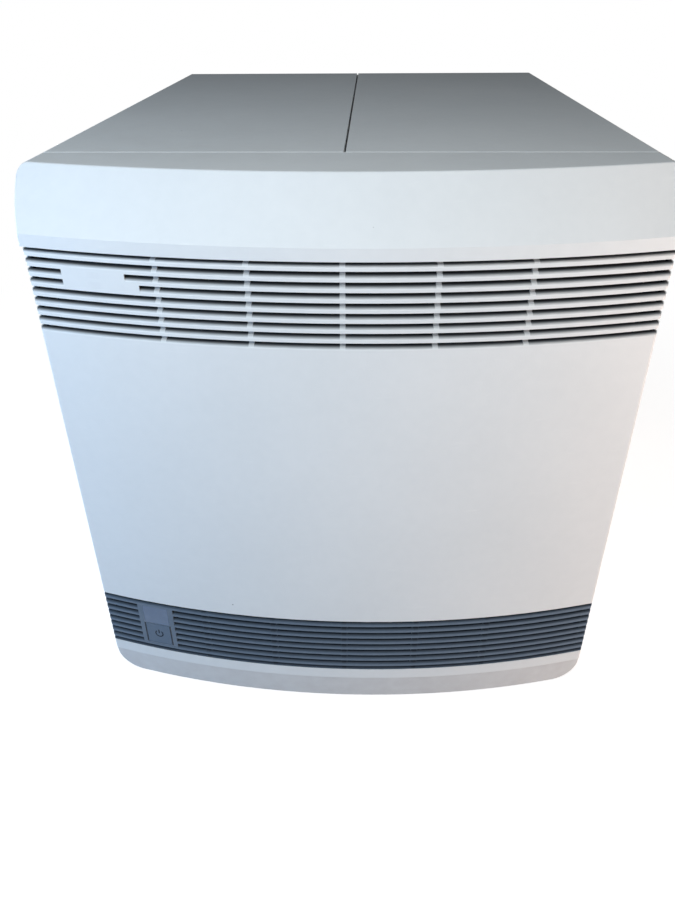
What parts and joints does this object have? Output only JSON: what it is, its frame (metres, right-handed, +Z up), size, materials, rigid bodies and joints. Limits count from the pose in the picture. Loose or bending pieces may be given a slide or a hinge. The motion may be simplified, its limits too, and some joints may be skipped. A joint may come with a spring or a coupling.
{
  "type": "real-time pcr machine",
  "caption": "Bench real-time PCR instrument with a bowed louvred front, a swinging plate tray, a heated cover over a thermal block and scanning optics.",
  "frame": {"origin": "on the bench, under the middle of the cabinet's outline", "axes": "+Z up, +Y from the front to the rear, +X to the right seen from the front"},
  "size_m": [0.614, 0.84, 0.64],
  "materials": {
    "cover_paint": "textured matt pale grey",
    "grille_plastic": "satin blue-grey",
    "key_plastic": "satin blue-grey",
    "window": "smooth smoked blue-grey",
    "black_plastic": "matt black",
    "board": "satin green",
    "plated_steel": "zinc plated",
    "bright_steel": "ground",
    "aluminium": "satin",
    "black_anodised": "black anodised",
    "white_ceramic": "satin white",
    "lens_glass": "glossy black",
    "laser_case": "satin grey paint"
  },
  "bodies": {
    "cabinet": {"front_cover": "cover_paint", "inlet_filter": "black_plastic", "lower_grille": "grille_plastic", "status_window": "window", "power_switch": "black_plastic", "status_led_board": "board", "left_cover": "cover_paint", "right_cover": "cover_paint", "service_cover": "cover_paint", "port_bezel": "grille_plastic", "rear_panel": "cover_paint", "base_pan": "plated_steel", "levelling_feet": "black_plastic", "corner_posts": "plated_steel", "top_frame": "plated_steel", "deck_frame": "plated_steel", "optics_deck": "black_anodised", "bridge_plates": "aluminium", "tray_bearings": "bright_steel", "tray_pedestal": "plated_steel", "tray_motor": "black_anodised", "module_guides": "bright_steel", "jack_base": "aluminium", "cover_guide_rods": "bright_steel", "cover_motor": "black_anodised", "scan_tracks": "bright_steel", "scan_screw_bearings": "aluminium", "scan_motor": "black_anodised", "laser_head": "laser_case", "laser_duct": "black_plastic", "laser_supply": "laser_case", "mirror_mounts": "black_anodised", "beam_tubes": "black_anodised", "spectrograph": "black_anodised", "ccd_camera": "laser_case", "power_supply": "plated_steel", "control_board": "board", "power_inlet": "black_plastic", "data_ports": "plated_steel", "panel_screws": "bright_steel", "exhaust_fan_frames": "black_plastic"},
    "power_key": {"power_button": "key_plastic"},
    "tray": {"tray_arm": "aluminium", "plate_adapter": "black_anodised", "tray_shaft": "bright_steel"},
    "heated_cover": {"heated_platen": "aluminium", "cover_frame": "black_anodised"},
    "lift_screw": {"cover_lift_screw": "bright_steel"},
    "scanner": {"scan_carriage": "black_anodised", "lens_row": "lens_glass"},
    "travel_screw": {"scan_screw": "bright_steel"},
    "thermal_module": {"sample_block": "aluminium", "peltier_modules": "white_ceramic", "heat_sink": "aluminium", "module_carrier": "aluminium", "block_fan_frame": "black_plastic"},
    "module_screw": {"jack_screw": "bright_steel"},
    "block_fan": {"block_fan_rotor": "black_plastic"},
    "upper_exhaust_fan": {"upper_exhaust_rotor": "black_plastic"},
    "lower_exhaust_fan": {"lower_exhaust_rotor": "black_plastic"}
  },
  "joints": [
    {"name": "power_button_press", "type": "slide", "parent": "cabinet", "child": "power_key", "axis": [0.2086, 0.978, 0], "range_m": [0, 0.0025], "stiffness_N_per_m": 400, "springref_m": -0.001},
    {"name": "tray_swing", "type": "hinge", "parent": "cabinet", "child": "tray", "pos_m": [0.2, -0.19, 0.285], "axis": [0, 0, 1], "range_deg": [-90, 0]},
    {"name": "heated_cover_lift", "type": "slide", "parent": "cabinet", "child": "heated_cover", "axis": [0, 0, 1], "range_m": [0, 0.018]},
    {"name": "lift_screw_turn", "type": "hinge", "parent": "cabinet", "child": "lift_screw", "pos_m": [0.2, -0.15, 0.38], "axis": [0, 0, 1], "range_deg": [-812, 2]},
    {"name": "scanner_travel", "type": "slide", "parent": "cabinet", "child": "scanner", "axis": [0, 1, 0], "range_m": [0, 0.099]},
    {"name": "scan_screw_turn", "type": "hinge", "parent": "cabinet", "child": "travel_screw", "pos_m": [0.116, 0, 0.433], "axis": [0, 1, 0], "range_deg": [-1784, 2]},
    {"name": "module_lower", "type": "slide", "parent": "cabinet", "child": "thermal_module", "axis": [0, 0, 1], "range_m": [-0.016, 0]},
    {"name": "jack_screw_turn", "type": "hinge", "parent": "cabinet", "child": "module_screw", "pos_m": [0.262, -0.11, 0.1], "axis": [0, 0, 1], "range_deg": [-2, 1442]},
    {"name": "block_fan_spin", "type": "hinge", "parent": "thermal_module", "child": "block_fan", "pos_m": [0.2, -0.005, 0.14], "axis": [0, 0, 1], "continuous": true},
    {"name": "upper_exhaust_spin", "type": "hinge", "parent": "cabinet", "child": "upper_exhaust_fan", "pos_m": [-0.18, 0.395, 0.47], "axis": [0, 1, 0], "continuous": true},
    {"name": "lower_exhaust_spin", "type": "hinge", "parent": "cabinet", "child": "lower_exhaust_fan", "pos_m": [0.2, 0.395, 0.14], "axis": [0, 1, 0], "continuous": true}
  ],
  "couplings": [
    {"joint": "lift_screw_turn", "follows": "heated_cover_lift", "rad_per_m": -785.4},
    {"joint": "scan_screw_turn", "follows": "scanner_travel", "rad_per_m": -314.16},
    {"joint": "jack_screw_turn", "follows": "module_lower", "rad_per_m": -1570.8}
  ]
}
